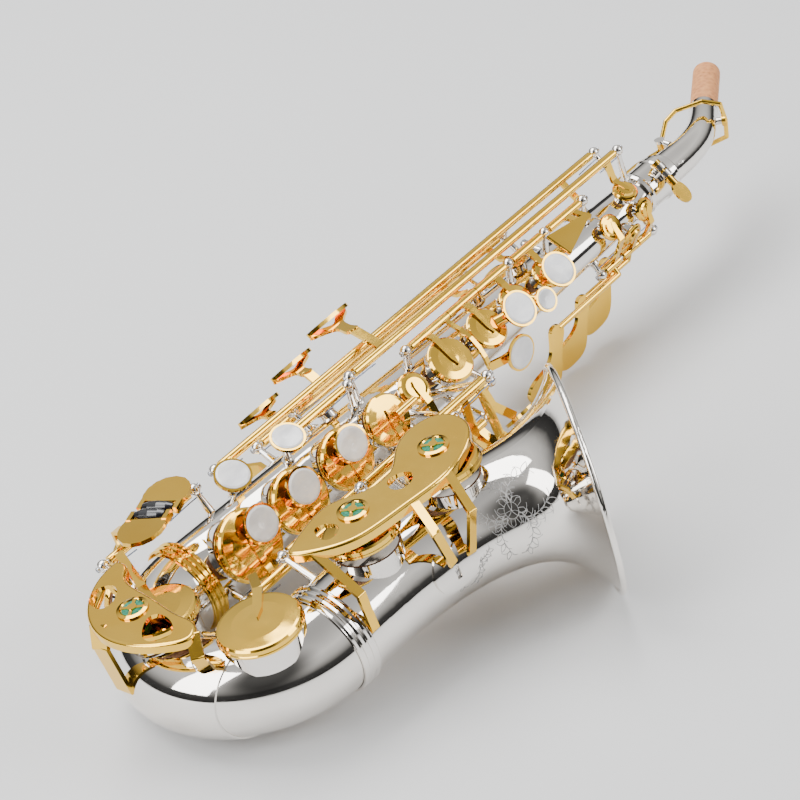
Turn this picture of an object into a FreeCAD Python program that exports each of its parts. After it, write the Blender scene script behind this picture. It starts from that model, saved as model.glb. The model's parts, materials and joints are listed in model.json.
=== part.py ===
import FreeCAD, Part
import os
from math import cos, hypot, radians, sin
from FreeCAD import Vector as V

# Curved soprano saxophone, in millimetres.
# Working frame of the drawing: X runs up the body tube towards the neck, Y points to the player (the
# bell is on the -Y side), Z points to the player's right. Its origin is on the body tube's axis, at
# the joint between the body and the bow. The last step lays the instrument down on its left side.

# ---- driving dimensions -------------------------------------------------------------------------
BODY_LEN = 300.0
BODY_R_LOW = 17.5          # outer radius at the bow end
BODY_R_TOP = 9.0           # outer radius at the neck end
WALL = 1.0
BOW_R = 39.1               # radius of the bow's centre line
BOW_TUBE_R = (17.7, 20.5)  # outer radius at the body end and at the bell end
BELL_RIM = V(117.5, -110.4, 0)
BELL_RIM_R = 46.0
BELL_TILT = 38.0           # degrees between the rim's axis and the body
BELL_WALL = 0.9
RIM_ROLL_R = 1.4

HOLE_WALL = 0.9            # wall of a tone-hole chimney
PAD_GAP = 0.15             # running gap between a closed pad cup and its chimney
PAD_DEPTH = 2.0

ROD_R = 1.0                # steel pivot rods
BORE_R = 1.05              # key barrels turn on them
BARREL_R = 2.0
BALL_R = 2.6               # ball of a post, with the rod through it
BAR_W = 3.2                # flat key arms
BAR_T = 1.5
PEARL_R = 7.2
SMALL_PEARL_R = 4.6

NECK_BEND = 33.0
NECK_BEND_R = 60.0
CORK_R = 6.8
STRAP_RING_R = 4.0
CORK_LEN = 40.0

# Hinge lines that run parallel to the body: (y, z) of each rod.
LOWER_STACK = (-25.6, -4.5)
UPPER_STACK = (-3.8, 21.7)
G_SHARP_ROD = (-24.0, -4.5)
HIGH_E_ROD = (0.9, 27.0)
HIGH_FS_ROD = (15.7, 23.4)
SIDE_C_ROD = (19.3, 18.4)
SIDE_BB_ROD = (23.4, 12.6)
ALT_FS_ROD = (-1.0, 25.6)
PINKY_ROD = (14.0, 24.0)
LOW_BB_ROD = (-50.0, 21.0)
LOW_B_ROD = (-44.0, 16.0)
LOW_CS_ROD = (-41.0, 8.5)
CS_LEVER_ROD = (-31.0, -13.0)
PALM_ROD = (-8.5, -14.7)


# ---- small building blocks ----------------------------------------------------------------------
def polar(x, deg, rho):
    """Point at height x, angle from the front towards the right, and distance from the body's axis."""
    return V(x, -rho * cos(radians(deg)), rho * sin(radians(deg)))


def radial(deg):
    return polar(0, deg, 1)


def unit(v):
    return v * (1.0 / v.Length)


def body_r(x):
    return BODY_R_LOW + (BODY_R_TOP - BODY_R_LOW) * x / BODY_LEN


def bar(a, b, r):
    return Part.makeCylinder(r, (b - a).Length, a, b - a)


def cone(a, b, ra, rb):
    return Part.makeCone(ra, rb, (b - a).Length, a, b - a)


def ball(c, r):
    return Part.makeSphere(r, c)


def fuse(shapes):
    shapes = list(shapes)
    whole = shapes[0] if len(shapes) == 1 else shapes[0].multiFuse(shapes[1:])
    return whole.removeSplitter()


def wire(points, r):
    """Round wire through points, with rounded corners."""
    runs = [bar(a, b, r) for a, b in zip(points, points[1:])]
    return fuse(runs + [ball(p, r) for p in points])


def place(origin, normal, along):
    """Local frame: z is the normal, x is the part of 'along' at right angles to it."""
    n = unit(normal)
    u = unit(along - n * along.dot(n))
    return FreeCAD.Placement(origin, FreeCAD.Rotation(u, n.cross(u), n, "ZXY"))


def put(shape, at):
    shape = shape.copy()
    shape.Placement = at.multiply(shape.Placement)
    return shape


def spin(profile, at):
    """Solid of revolution from (radius, height) points."""
    face = Part.Face(Part.makePolygon([V(r, 0, h) for r, h in profile + profile[:1]]))
    return put(face.revolve(V(0, 0, 0), V(0, 0, 1), 360), at)


def plate(outline, at, low, high, smooth=True):
    """Flat plate between two local heights, from an outline that is curved or straight."""
    points = [V(a, b, low) for a, b in outline]
    if smooth:
        curve = Part.BSplineCurve()
        curve.interpolate(points, PeriodicFlag=True)
        edge = Part.Wire(curve.toShape())
    else:
        edge = Part.makePolygon(points + points[:1])
    return put(Part.Face(edge).extrude(V(0, 0, high - low)), at)


def strip(points, width, thick, side):
    """Flat bar through points, with its width in the direction 'side'."""
    parts = []
    for a, b in zip(points, points[1:]):
        run = unit(b - a)
        across = unit(side - run * side.dot(run))
        box = Part.makeBox((b - a).Length, width, thick, V(0, -width / 2, -thick / 2))
        box.Placement = FreeCAD.Placement(a, FreeCAD.Rotation(run, across, run.cross(across), "XYZ"))
        parts.append(box)
        for end in (a, b):
            parts.append(bar(end - across * (width / 2), end + across * (width / 2), thick / 2))
    return fuse(parts)


def turned(shape, line, deg):
    """Turn about a hinge line parallel to X."""
    shape = shape.copy()
    shape.rotate(V(0, line[0], line[1]), V(1, 0, 0), deg)
    return shape


def on(line, x):
    return V(x, line[0], line[1])


# ---- tone holes ---------------------------------------------------------------------------------
class Hole:
    """Chimney and the cup that closes it: rim centre, direction out, bore radius, cup radius."""

    def __init__(self, rim, out, bore, cup_r, cup_h, base):
        self.rim, self.out, self.bore = rim, unit(out), bore
        self.cup_r, self.cup_h, self.base = cup_r, cup_h, base

    def chimney(self):
        return bar(self.rim - self.out * self.base, self.rim, self.bore + HOLE_WALL)

    def cut(self, depth=9.0):
        return bar(self.rim - self.out * depth, self.rim + self.out, self.bore)


def body_hole(x, deg, cup_r, cup_h, lift=2.4):
    rho = body_r(x) + lift
    return Hole(polar(x, deg, rho), radial(deg), cup_r - 2.6, cup_r, cup_h, lift + cup_r * 0.45)


def bow_point(deg):
    """Centre of the bow's tube, by angle from the body end, and its outer radius there."""
    a = radians(deg)
    r = BOW_TUBE_R[0] + (BOW_TUBE_R[1] - BOW_TUBE_R[0]) * deg / 180.0
    return V(-BOW_R * sin(a), -BOW_R + BOW_R * cos(a), 0), r


def up_hole(x, y, tube_r, cup_r):
    return Hole(V(x, y, tube_r + 2.6), V(0, 0, 1), cup_r - 3.0, cup_r, 4.6, 9.0)


EB_CENTRE, EB_TUBE_R = bow_point(18)
EB_OUT = unit(V(-0.28, 0.93, 0.28))
HOLES = {
    "low_bb": up_hole(74, -84.0, 23.0, 15.5),
    "low_b": up_hole(31, -79.5, 21.1, 15.5),
    "low_cs": up_hole(-21.5, -74.0, 19.6, 16.8),
    "low_c": up_hole(-35.0, -33.0, 18.4, 16.0),
    "eb": Hole(EB_CENTRE + EB_OUT * (EB_TUBE_R + 2.4), EB_OUT, 8.4, 11.0, 3.6, 7.0),
    "d": body_hole(20, 32, 15.0, 4.6, 2.8),
    "e": body_hole(50, 32, 13.8, 4.4, 2.8),
    "f": body_hole(79, 32, 13.2, 4.2, 2.8),
    "fs": body_hole(106, 34, 11.2, 3.8, 2.8),
    "gs": body_hole(128, 40, 7.4, 3.0),
    "g": body_hole(150, 36, 10.5, 3.2),
    "a": body_hole(175, 36, 9.5, 3.0),
    "bis": body_hole(197, 38, 8.3, 2.8, 2.0),
    "b": body_hole(220, 40, 7.4, 2.8, 2.0),
    "side_bb": body_hole(190, 114, 6.4, 2.6, 2.0),
    "side_c": body_hole(218, 104, 6.2, 2.6, 2.0),
    "high_e": body_hole(287, 62, 6.0, 2.8, 2.0),
    "high_fs": body_hole(270, 142, 5.8, 2.6, 2.0),
    "palm_d": body_hole(266, 26, 6.2, 2.8, 2.0),
    "palm_eb": body_hole(279, -28, 6.0, 2.8, 2.0),
    "palm_f": body_hole(289.5, 6, 5.6, 2.8, 1.8),
    "alt_fs": body_hole(98, 124, 5.6, 2.6, 2.0),
}


def cup(hole, toward, domed):
    """Pad cup, closed: a shallow dish with a rolled rim and a recess for the pad underneath."""
    r, h = hole.cup_r, hole.cup_h
    low = PAD_GAP + 0.7
    crown = h + (1.3 if domed else 0.5)
    profile = [(0, PAD_DEPTH + 0.4), (r - 1.0, PAD_DEPTH + 0.4), (r - 1.0, low), (r - 0.3, low),
               (r, low + 0.3)]
    profile += [(r, low + 1.0), (r - 0.35, low + 1.3), (r - 0.35, h - 0.9), (r - 1.0, h - 0.15), (r - 1.9, h)]
    profile += [(r * 0.6, h + (crown - h) * 0.75), (r * 0.3, crown - 0.1), (0, crown)]
    return spin(profile, place(hole.rim, hole.out, toward))


# ---- keys ---------------------------------------------------------------------------------------
def barrel(line, x0, x1):
    return bar(on(line, x0), on(line, x1), BARREL_R)


def bored(shape, line, x0, x1):
    return shape.cut(bar(on(line, x0 - 3), on(line, x1 + 3), BORE_R)).removeSplitter()


def arm_to_cup(hole, line, x=None, width=BAR_W, domed=False):
    """Cup, its pointed arm, and the link down to the barrel at height x."""
    x = hole.rim.x if x is None else x
    foot = on(line, x)
    at = place(hole.rim, hole.out, foot - hole.rim)
    r, top = hole.cup_r, hole.cup_h - 0.1
    reach = r + 1.0
    w = width / 2
    spear = [(reach, -w), (reach, w), (0, w * 0.75), (-r * 0.38, 0.15), (-r * 0.38, -0.15), (0, -w * 0.75)]
    end = at.multVec(V(reach, 0, top + BAR_T / 2))
    across = unit(hole.out.cross(foot - hole.rim))
    link = strip([end, foot], width, BAR_T, across)
    return [cup(hole, foot - hole.rim, domed), plate(spear, at, top, top + BAR_T, smooth=False), link]


def pearl_seat(at, r, drop):
    """Gold cup of a finger pearl with its stem. Local z=0 is the underside of the pearl."""
    dish = spin([(0, -1.6), (r * 0.7, -1.6), (r + 1.0, -0.4), (r + 1.0, 0.9), (r + 0.15, 0.9),
                 (r + 0.15, 0), (0, 0)], at)
    stem = put(Part.makeCone(r * 0.42, r * 0.34, drop, V(0, 0, -1.2 - drop), V(0, 0, 1)), at)
    return [dish, stem]


def pearl(at, r):
    profile = [(0, 0.02), (r, 0.02), (r, 1.1), (r * 0.88, 1.45), (r * 0.6, 1.3), (r * 0.3, 1.15), (0, 1.1)]
    return spin(profile, at)


def leaf(at, length, width, thick, lean=0.0):
    """Leaf-shaped touch-piece: long along local x, rounded on its edges."""
    a, b = length / 2, width / 2
    outline = [(-a, 0), (-a * 0.72, -b * 0.72), (0, -b + lean), (a * 0.75, -b * 0.66), (a, 0)]
    outline += [(a * 0.75, b * 0.66), (0, b + lean), (-a * 0.72, b * 0.72)]
    return plate(outline, at, 0, thick)


KEYS = {}      # node name: (solid, hinge line, rest turn in degrees)
JOINTS = []    # (body, hinge point, axis, travel in degrees)
X_AXIS = V(1, 0, 0)


def stack_key(name, hole, line, x0, x1, press, opening, extra=(), domed=False, arm_x=None, rests_open=True):
    """Key on a rod parallel to the body. 'press' is the sense of the turn that the player gives it."""
    solid = fuse([barrel(line, x0, x1)] + arm_to_cup(HOLES[hole], line, arm_x, domed=domed) + list(extra))
    solid = bored(solid, line, x0, x1)
    rest = -press * opening if rests_open else 0.0
    KEYS[name] = (turned(solid, line, rest), line, rest)
    JOINTS.append((name, on(line, (x0 + x1) / 2), X_AXIS * press, opening))


def rest_with(name, shape):
    """A piece that is fixed on a key takes the key's turn at rest."""
    return turned(shape, KEYS[name][1], KEYS[name][2])


PEARLS = {}


def finger_pearl(drop, at, r):
    """Seat and pearl at a local frame; the stem reaches down to the cup or arm below."""
    return pearl_seat(at, r, drop), pearl(at, r)


def lower_stack():
    """Right-hand keys: the pearl stands on the pad cup."""
    spans = {"d": (10.2, 32.2, 6.5), "e": (38.2, 61.8, 1.5), "f": (67.8, 90.9, 2.0)}
    for note, (x0, x1, up) in spans.items():
        hole = HOLES[note]
        side = hole.out.cross(X_AXIS)
        at = place(hole.rim + hole.out * 8.2 + X_AXIS * up - side * -5.0, hole.out, X_AXIS)
        seat, white = finger_pearl(3.0, at, PEARL_R)
        stack_key(note + "_key", note, LOWER_STACK, x0, x1, -1, 8.5, seat)
        PEARLS[note + "_pearl"] = rest_with(note + "_key", white)
    hole = HOLES["fs"]
    screw_at = hole.rim + hole.out * 6.4
    nub = [bar(screw_at + V(2, 0, 0), screw_at + V(13.5, 0, 0), 1.9),
           bar(screw_at + V(3, 0, 0), screw_at + V(3, 0, 0) - hole.out * 4, 1.6)]
    stack_key("f_sharp_key", "fs", LOWER_STACK, 91.3, 116.8, -1, 8.5, nub)


def upper_stack():
    """Left-hand keys. The pearls stand beside their cups, and the G pearl on an arm between two cups."""
    opening = 8.0
    arch = [polar(163, a, 20.2) for a in (70, 55, 40, 25, 10, -4)]
    reach = strip([on(UPPER_STACK, 163)] + arch, 2.0, BAR_T, X_AXIS)
    at = place(polar(178.5, -9, 24.4), radial(-9), X_AXIS)
    tip = strip([polar(163, -4, 20.2), polar(171, -8, 21.4), polar(178, -9, 21.9)], 4.0, BAR_T,
                radial(-8).cross(X_AXIS))
    seat, white = finger_pearl(1.6, at, PEARL_R)
    stack_key("g_key", "g", UPPER_STACK, 140.8, 165.0, 1, opening, [reach, tip] + seat)
    PEARLS["g_pearl"] = rest_with("g_key", white)

    layout = {
        "a": ("a", 165.4, 184.0, polar(189, 28, 24.2), 28, PEARL_R, polar(179, 34, 18.0)),
        "bis": ("bis", 184.4, 204.2, polar(203.5, 17, 24.0), 17, SMALL_PEARL_R, polar(200, 30, 16.8)),
        "b": ("b", 209.8, 229.8, polar(218.5, 32, 24.0), 32, PEARL_R, polar(219.5, 38, 16.4)),
    }
    for note, (hole, x0, x1, top, deg, r, root) in layout.items():
        at = place(top, radial(deg), X_AXIS)
        seat, white = finger_pearl(1.2, at, r)
        under = top - radial(deg) * 2.2
        stem = cone(root, under, 2.6, 2.2)
        stack_key(note + "_key", hole, UPPER_STACK, x0, x1, 1, opening, seat + [stem])
        PEARLS[note + "_pearl"] = rest_with(note + "_key", white)


def g_sharp():
    """The touch lies at the left, below the hinge, so that pressing it lifts the pad."""
    at = place(V(168, -30.0, -26.0), radial(-50), X_AXIS)
    lever = strip([on(G_SHARP_ROD, 154.8), V(156, -26.0, -14), at.multVec(V(-4, 0, -2.2))], 4.0, BAR_T,
                  X_AXIS)
    pad = plate([(-10, 0), (-6, -6), (4, -7), (10.5, 0), (4, 7), (-6, 6)], at, -1.6, 0)
    ring = plate([(-7.2, 0), (-4.4, -4.4), (2.6, -5.2), (7.4, 0), (2.6, 5.2), (-4.4, 4.4)], at, 0.02, 1.3)
    stack_key("g_sharp_key", "gs", G_SHARP_ROD, 122.4, 157.0, 1, 9.0, [lever, pad], rests_open=False)
    PEARLS["g_sharp_pearl"] = ring


def side_touch(line, x, tip, length, bend):
    """Y-shaped flat arm from a side-key barrel to an edge-on leaf."""
    normal = unit(V(0, 0.63, 0.78))
    at = place(V(x, tip[0], tip[1]), normal, V(1, 0, 0))
    root = on(line, x - 4)
    mid = V(x - 2, bend[0], bend[1])
    blade = leaf(at, length, 9.0, 1.8)
    reach = V(0, tip[0] - bend[0], tip[1] - bend[1])
    far = reach.Length
    tail = [(2.2, -1), (2.5, far * 0.35), (5, far * 0.62), (length * 0.46, far * 0.95),
            (length * 0.3, far), (0, far * 0.72)]
    tail += [(-a, b) for a, b in reversed(tail[:-1])]
    fish = plate(tail, place(mid, X_AXIS.cross(unit(reach)), X_AXIS), -BAR_T / 2, BAR_T / 2)
    return [blade, fish, strip([root, mid], 4.4, BAR_T, X_AXIS)]


def side_keys():
    stack_key("high_e_key", "high_e", HIGH_E_ROD, 112, 292.4, -1, 9.0,
              side_touch(HIGH_E_ROD, 135, (36.5, 29.5), 25, (20.0, 30.6)), domed=True, rests_open=False)
    stack_key("side_c_key", "side_c", SIDE_C_ROD, 92, 226, -1, 9.0,
              side_touch(SIDE_C_ROD, 112, (40.5, 20.5), 24, (30.0, 21.4)), rests_open=False)
    stack_key("side_b_flat_key", "side_bb", SIDE_BB_ROD, 72, 200, -1, 9.0,
              side_touch(SIDE_BB_ROD, 90, (43.0, 11.4), 24, (34.0, 13.2)), rests_open=False)


def right_hand_extras():
    """High F sharp and alternate F sharp: pearls beside the lower stack."""
    at = place(V(35, -4.5, 31.0), radial(62), X_AXIS)
    seat, white = finger_pearl(1.0, at, 6.8)
    arm = strip([on(HIGH_FS_ROD, 48), V(44, 8, 28.2), V(35, -2.8, 28.4)], BAR_W, BAR_T, X_AXIS)
    stack_key("high_f_sharp_key", "high_fs", HIGH_FS_ROD, 44, 292.4, 1, 9.0, seat + [arm], rests_open=False)
    PEARLS["high_f_sharp_pearl"] = white
    at = place(V(64, -7.0, 29.6), radial(68), X_AXIS)
    seat, white = finger_pearl(1.0, at, 6.4)
    arm = strip([on(ALT_FS_ROD, 70.6), V(67, -5.2, 27.4)], BAR_W, BAR_T, X_AXIS)
    stack_key("alternate_f_sharp_key", "alt_fs", ALT_FS_ROD, 68.4, 102.0, 1, 8.0, seat + [arm],
              rests_open=False)
    PEARLS["alternate_f_sharp_pearl"] = white


def palm_keys():
    """Three levers on one rod at the left; each long arm passes the next barrel at its own side."""
    hinge = on(PALM_ROD, 0)
    out = radial(-60)
    back = out.cross(X_AXIS) * -1
    layout = [("palm_d_key", "palm_d", 259.6, 269.6, 0, 202, -38.5),
              ("palm_e_flat_key", "palm_eb", 272.6, 283.4, 52, 227, -38.0),
              ("palm_f_key", "palm_f", 284.6, 292.6, 104, 252, -36.0)]
    for name, hole, x0, x1, side, touch_x, tip_z in layout:
        lane = hinge + (out * cos(radians(side)) + back * sin(radians(side))) * (5.0 + side / 52.0)
        mid = (x0 + x1) / 2
        start = V(mid, lane.y, lane.z)
        at = place(V(touch_x, lane.y, tip_z), V(0, -1, 0), V(1, 0, 0.08))
        arm = wire([on(PALM_ROD, mid), start, V(touch_x + 18, lane.y, lane.z)], 1.4)
        drop = lane.z - tip_z
        swan = [(-11, 0), (-8, -5), (0, -6.8), (8, -5.5), (13, 1), (17, drop * 0.5), (21, drop - 1),
                (15, drop + 1.5),
                (11, drop * 0.7), (6, 7.5), (-1, 6), (-8, 4.5)]
        blade = plate(swan, at, -1.0, 1.0)
        stack_key(name, hole, PALM_ROD, x0, x1, 1, 6.0, [arm, blade], domed=True, rests_open=False)


def front_f():
    """Shell-shaped touch above the B pearl."""
    line = UPPER_STACK
    at = place(polar(239, 55, 23.6), radial(55), V(1, 0.1, 0))
    shell = plate([(-9.5, -6.5), (-9.5, 6.5), (13, 1.2), (13, -1.2)], at, 0, 1.8, smooth=False)
    lip = bar(at.multVec(V(-9.5, -6.5, 0.9)), at.multVec(V(-9.5, 6.5, 0.9)), 1.1)
    arm = strip([at.multVec(V(9, 0, 0.5)), on(line, 247)], BAR_W, BAR_T, X_AXIS)
    finger = strip([on(line, 252), polar(256, 58, 20.5)], 2.6, BAR_T, X_AXIS)
    solid = bored(fuse([barrel(line, 236.2, 258), shell, lip, arm, finger]), line, 236.2, 258)
    KEYS["front_f_key"] = (solid, line, 0.0)
    JOINTS.append(("front_f_key", on(line, 247), X_AXIS, 6.0))


def low_keys():
    """Low B flat, B and C sharp on the bell, low C and E flat at the bow."""
    table = {
        "low_b_flat_key": ("low_bb", LOW_BB_ROD, 62.0, 133.6, 131.0, (-53.0, -16.5), 146.0),
        "low_b_key": ("low_b", LOW_B_ROD, 21.0, 133.6, 126.0, (-44.5, -26.5), 143.0),
    }
    for name, (hole, line, x0, x1, arm_x, tip, touch_x) in table.items():
        at = place(V(touch_x, tip[0], tip[1]), unit(V(0, -0.9, -0.45)), X_AXIS)
        arm = strip([on(line, arm_x), V(arm_x, tip[0] + 1.0, -4.0), at.multVec(V(-6, 0, 0.6))], 4.0,
                    BAR_T, X_AXIS)
        stack_key(name, hole, line, x0, x1, 1, 5.0, [arm, leaf(at, 19, 10, 1.8)])

    line = LOW_CS_ROD
    hole = HOLES["low_cs"]
    at = place(hole.rim, hole.out, V(1, 1, 0))
    top = hole.cup_h - 0.1
    spear = [(18, -1.9), (18, 1.9), (6, 1.7), (0.5, 0.15), (0.5, -0.15), (6, -1.7)]
    end = at.multVec(V(18, 0, top + BAR_T / 2))
    link = strip([end, V(-3.0, -52, 26.0), on(line, 3.0)], 3.6, BAR_T, unit(V(1, -0.6, 0)))
    finger = strip([on(line, 116), V(116, -38.5, 0.2)], 3.0, BAR_T, X_AXIS)
    solid = fuse([barrel(line, 0, 118), cup(hole, V(1, 1, 0), False),
                  plate(spear, at, top, top + BAR_T, smooth=False), link, finger])
    KEYS["low_c_sharp_key"] = (bored(solid, line, 0, 118), line, 0.0)
    JOINTS.append(("low_c_sharp_key", on(line, 60), X_AXIS * -1, 5.0))

    line = CS_LEVER_ROD
    at = place(V(155, -37.5, -27.0), unit(V(0, -0.85, -0.5)), X_AXIS)
    arm = strip([on(line, 140), V(141, -35, -18), at.multVec(V(-6, 0, 0.6))], 4.0, BAR_T, X_AXIS)
    finger = strip([on(line, 116), V(116, -37.0, -3.0)], 3.0, BAR_T, X_AXIS)
    solid = fuse([barrel(line, 113, 144.2), arm, leaf(at, 17, 9, 1.8), finger])
    KEYS["low_c_sharp_lever"] = (bored(solid, line, 113, 144.2), line, 0.0)
    JOINTS.append(("low_c_sharp_lever", on(line, 130), X_AXIS, 5.0))


ROLLER_AXIS = unit(V(0.40, -0.92, 0))


def pinky_keys():
    """Low C and E flat share a rod; a black roller sits in the facing edge of each plate."""
    line = PINKY_ROD
    side = V(ROLLER_AXIS.y, -ROLLER_AXIS.x, 0) * -1
    centre = V(-0.5, 0.5, 38.5)
    for name, sign, hole_name in (("low_c_key", -1, "low_c"), ("e_flat_key", 1, "eb")):
        hole = HOLES[hole_name]
        at = place(centre + side * (sign * 3.0), V(0, 0, 1), side * sign)
        outline = [(3.2, -9), (7, -9.8), (11, -9.5), (15, -7.5), (17.6, -4.2), (18.6, 0)]
        outline += [(x, -y) for x, y in reversed(outline[:-1])]
        top = plate(outline, at, -1.8, 0, smooth=False)
        ears = [plate([(-1.6, s * 9), (4, s * 9), (4, s * 7.0), (-1.6, s * 7.0)], at, -2.6, 0.4,
                      smooth=False) for s in (-1, 1)]
        pin = bar(at.multVec(V(0, -8.9, -0.6)), at.multVec(V(0, 8.9, -0.6)), 0.7)
        grip = fuse([top, pin] + ears)
        foot_x = -12.0 if sign < 0 else 12.0
        leg = strip([V(foot_x, 2.0, 36.2), V(foot_x, 13.5, 33.0), on(line, foot_x)], 4.4, BAR_T, X_AXIS)
        if sign < 0:
            x0, x1 = -20.0, -4.6
            cup_at = place(hole.rim, hole.out, V(-15, 14, 24) - hole.rim)
            top_z = hole.cup_h - 0.1
            spear = [(17, -1.9), (17, 1.9), (6, 1.7), (-3, 0.15), (-3, -0.15), (6, -1.7)]
            end = cup_at.multVec(V(17, 0, top_z + BAR_T / 2))
            link = strip([end, V(-19.0, 6, 29.0), on(line, -16)], 3.6, BAR_T, unit(V(1, -0.5, 0)))
            arm = [cup(hole, V(-15, 14, 24) - hole.rim, False),
                   plate(spear, cup_at, top_z, top_z + BAR_T, smooth=False), link]
        else:
            x0, x1 = -4.2, 24.0
            cup_at = place(hole.rim, hole.out, V(0, 0, 1))
            top_z = hole.cup_h - 0.1
            spear = [(12, -1.6), (12, 1.6), (0, 1.2), (-4, 0.15), (-4, -0.15), (0, -1.2)]
            end = cup_at.multVec(V(12, 0, top_z + BAR_T / 2))
            link = strip([end, V(-8.0, 21.5, 22.0), on(line, 0)], 3.2, BAR_T, unit(V(1, 0, 0.4)))
            arm = [cup(hole, V(0, 0, 1), False),
                   plate(spear, cup_at, top_z, top_z + BAR_T, smooth=False), link]
        rest = -3.4 if sign < 0 else 0.0
        solid = bored(fuse([barrel(line, x0, x1), grip, leg] + arm), line, x0, x1)
        KEYS[name] = (turned(solid, line, rest), line, rest)
        JOINTS.append((name, on(line, (x0 + x1) / 2), X_AXIS, 3.4 if sign < 0 else 7.0))
        roll = spin([(0.82, -6.7), (1.5, -6.7), (2.3, -4.0), (2.6, 0), (2.3, 4.0), (1.5, 6.7), (0.82, 6.7)],
                    place(at.multVec(V(0, 0, -0.6)), ROLLER_AXIS, V(0, 0, 1)))
        roller = name.replace("_key", "_roller")
        KEYS[roller] = (rest_with(name, roll), line, rest)
        spot = FreeCAD.Rotation(X_AXIS, rest).multVec(at.multVec(V(0, 0, -0.6)) - on(line, 0)) + on(line, 0)
        spindle = FreeCAD.Rotation(X_AXIS, rest).multVec(ROLLER_AXIS)
        ROLLERS.append((roller, name, spot, spindle))


ROLLERS = []


# ---- tube, bow and bell -------------------------------------------------------------------------
def ring_wire(centre, axis, r):
    return Part.Wire(Part.Edge(Part.Circle(centre, axis, r)))


def body_tube():
    outer = Part.makeCone(BODY_R_LOW, BODY_R_TOP, BODY_LEN, V(0, 0, 0), X_AXIS)
    inner = Part.makeCone(BODY_R_LOW - WALL, BODY_R_TOP - WALL, BODY_LEN, V(0, 0, 0), X_AXIS)
    holes = [h for name, h in HOLES.items() if name not in ("low_bb", "low_b", "low_cs", "low_c", "eb")]
    vent = Part.makeCylinder(2.2, 4.8, V(256, 7.6, -3), V(0, 1, 0))
    solid = outer.multiFuse([h.chimney() for h in holes] + [vent]).cut(inner)
    vent_bore = Part.makeCylinder(1.2, 9, V(256, 5, -3), V(0, 1, 0))
    return solid.cut(fuse_compound([h.cut(6.5) for h in holes] + [vent_bore]))


def fuse_compound(shapes):
    return Part.makeCompound(shapes)


def bow_loft(grow):
    sections = []
    for deg in range(0, 181, 20):
        centre, r = bow_point(deg)
        a = radians(deg)
        sections.append(ring_wire(centre, V(-cos(a), -sin(a), 0), r + grow))
    return Part.makeLoft(sections, True, False)


def bow():
    holes = [HOLES[n] for n in ("low_cs", "low_c", "eb")]
    solid = bow_loft(0).multiFuse([h.chimney() for h in holes]).cut(bow_loft(-WALL))
    return solid.cut(fuse_compound([h.cut() for h in holes]))


def bell_section(u):
    """Centre, direction and outer radius at a fraction of the bell's length."""
    start = V(0, -2 * BOW_R, 0)
    axis = V(cos(radians(BELL_TILT)), -sin(radians(BELL_TILT)), 0)
    p1 = start + V(66, 0, 0)
    p2 = BELL_RIM - axis * 44
    w = 1 - u
    centre = start * w**3 + p1 * (3 * w * w * u) + p2 * (3 * w * u * u) + BELL_RIM * u**3
    run = (p1 - start) * (3 * w * w) + (p2 - p1) * (6 * w * u) + (BELL_RIM - p2) * (3 * u * u)
    slow = BOW_TUBE_R[1] + 6.0 * u**1.6
    flare = (BELL_RIM_R - BOW_TUBE_R[1] - 6.0) * max(0.0, (u - 0.55) / 0.45) ** 4.6
    return centre, unit(run), slow + flare


BELL_STEPS = (0, 0.15, 0.3, 0.45, 0.58, 0.68, 0.76, 0.83, 0.89, 0.94, 0.975, 1.0)


def bell_loft(grow):
    sections = [ring_wire(c, axis, r + grow) for c, axis, r in (bell_section(u) for u in BELL_STEPS)]
    return Part.makeLoft(sections, True, False)


def bell():
    holes = [HOLES[n] for n in ("low_bb", "low_b")]
    solid = bell_loft(0).multiFuse([h.chimney() for h in holes]).cut(bell_loft(-BELL_WALL))
    centre, axis, r = bell_section(1.0)
    roll = Part.makeTorus(r, RIM_ROLL_R, centre, axis)
    return solid.cut(fuse_compound([h.cut() for h in holes])).fuse(roll)


def ridged_ring(x0, x1, r_in, r_out, y, ridges):
    """Ferrule with rounded ridges round a tube that is parallel to X."""
    profile = [(r_in, x0), (r_out - 0.7, x0)]
    step = (x1 - x0) / ridges
    for i in range(ridges):
        a = x0 + i * step
        profile += [(r_out - 0.7, a + 0.1 * step), (r_out, a + 0.35 * step), (r_out, a + 0.65 * step),
                    (r_out - 0.7, a + 0.9 * step)]
    profile += [(r_out - 0.7, x1), (r_in, x1)]
    return spin(profile, place(V(0, y, 0), X_AXIS, V(0, 0, 1)))


def bow_guard_plate():
    """Raised plate round the outside of the bow, with a scalloped edge."""
    skin = bow_loft(0.75).cut(bow_loft(0.02))
    inside = Part.makeCylinder(BOW_R + 7, 60, V(0, -BOW_R, -30), V(0, 0, 1))
    keep = Part.makeBox(80, 62, 60, V(-80, -70, -30)).cut(inside)
    scallops = [Part.makeCylinder(7, 60,
                                  V(-(BOW_R + 5) * sin(radians(a)),
                                    -BOW_R + (BOW_R + 5) * cos(radians(a)), -30), V(0, 0, 1))
                for a in (60, 90, 120)]
    holes = [HOLES[n] for n in ("low_cs", "low_c", "eb")]
    room = [bar(h.rim - h.out * 12, h.rim + h.out * 2, h.bore + HOLE_WALL + 0.5) for h in holes]
    return skin.common(keep).cut(fuse_compound(scallops)).cut(fuse_compound(room))


# ---- posts, rods and fittings -------------------------------------------------------------------
POSTS = []     # (ball centre, foot on the tube)
RODS = []      # (start, end)


def body_posts(line, xs):
    for x in xs:
        top = on(line, x)
        rho = hypot(*line)
        POSTS.append((top, V(x, line[0] / rho, line[1] / rho) , body_r(x)))


def rod_with_posts(line, x0, x1, posts=None):
    RODS.append((on(line, x0), on(line, x1)))
    body_posts(line, posts or (x0, x1))


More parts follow.
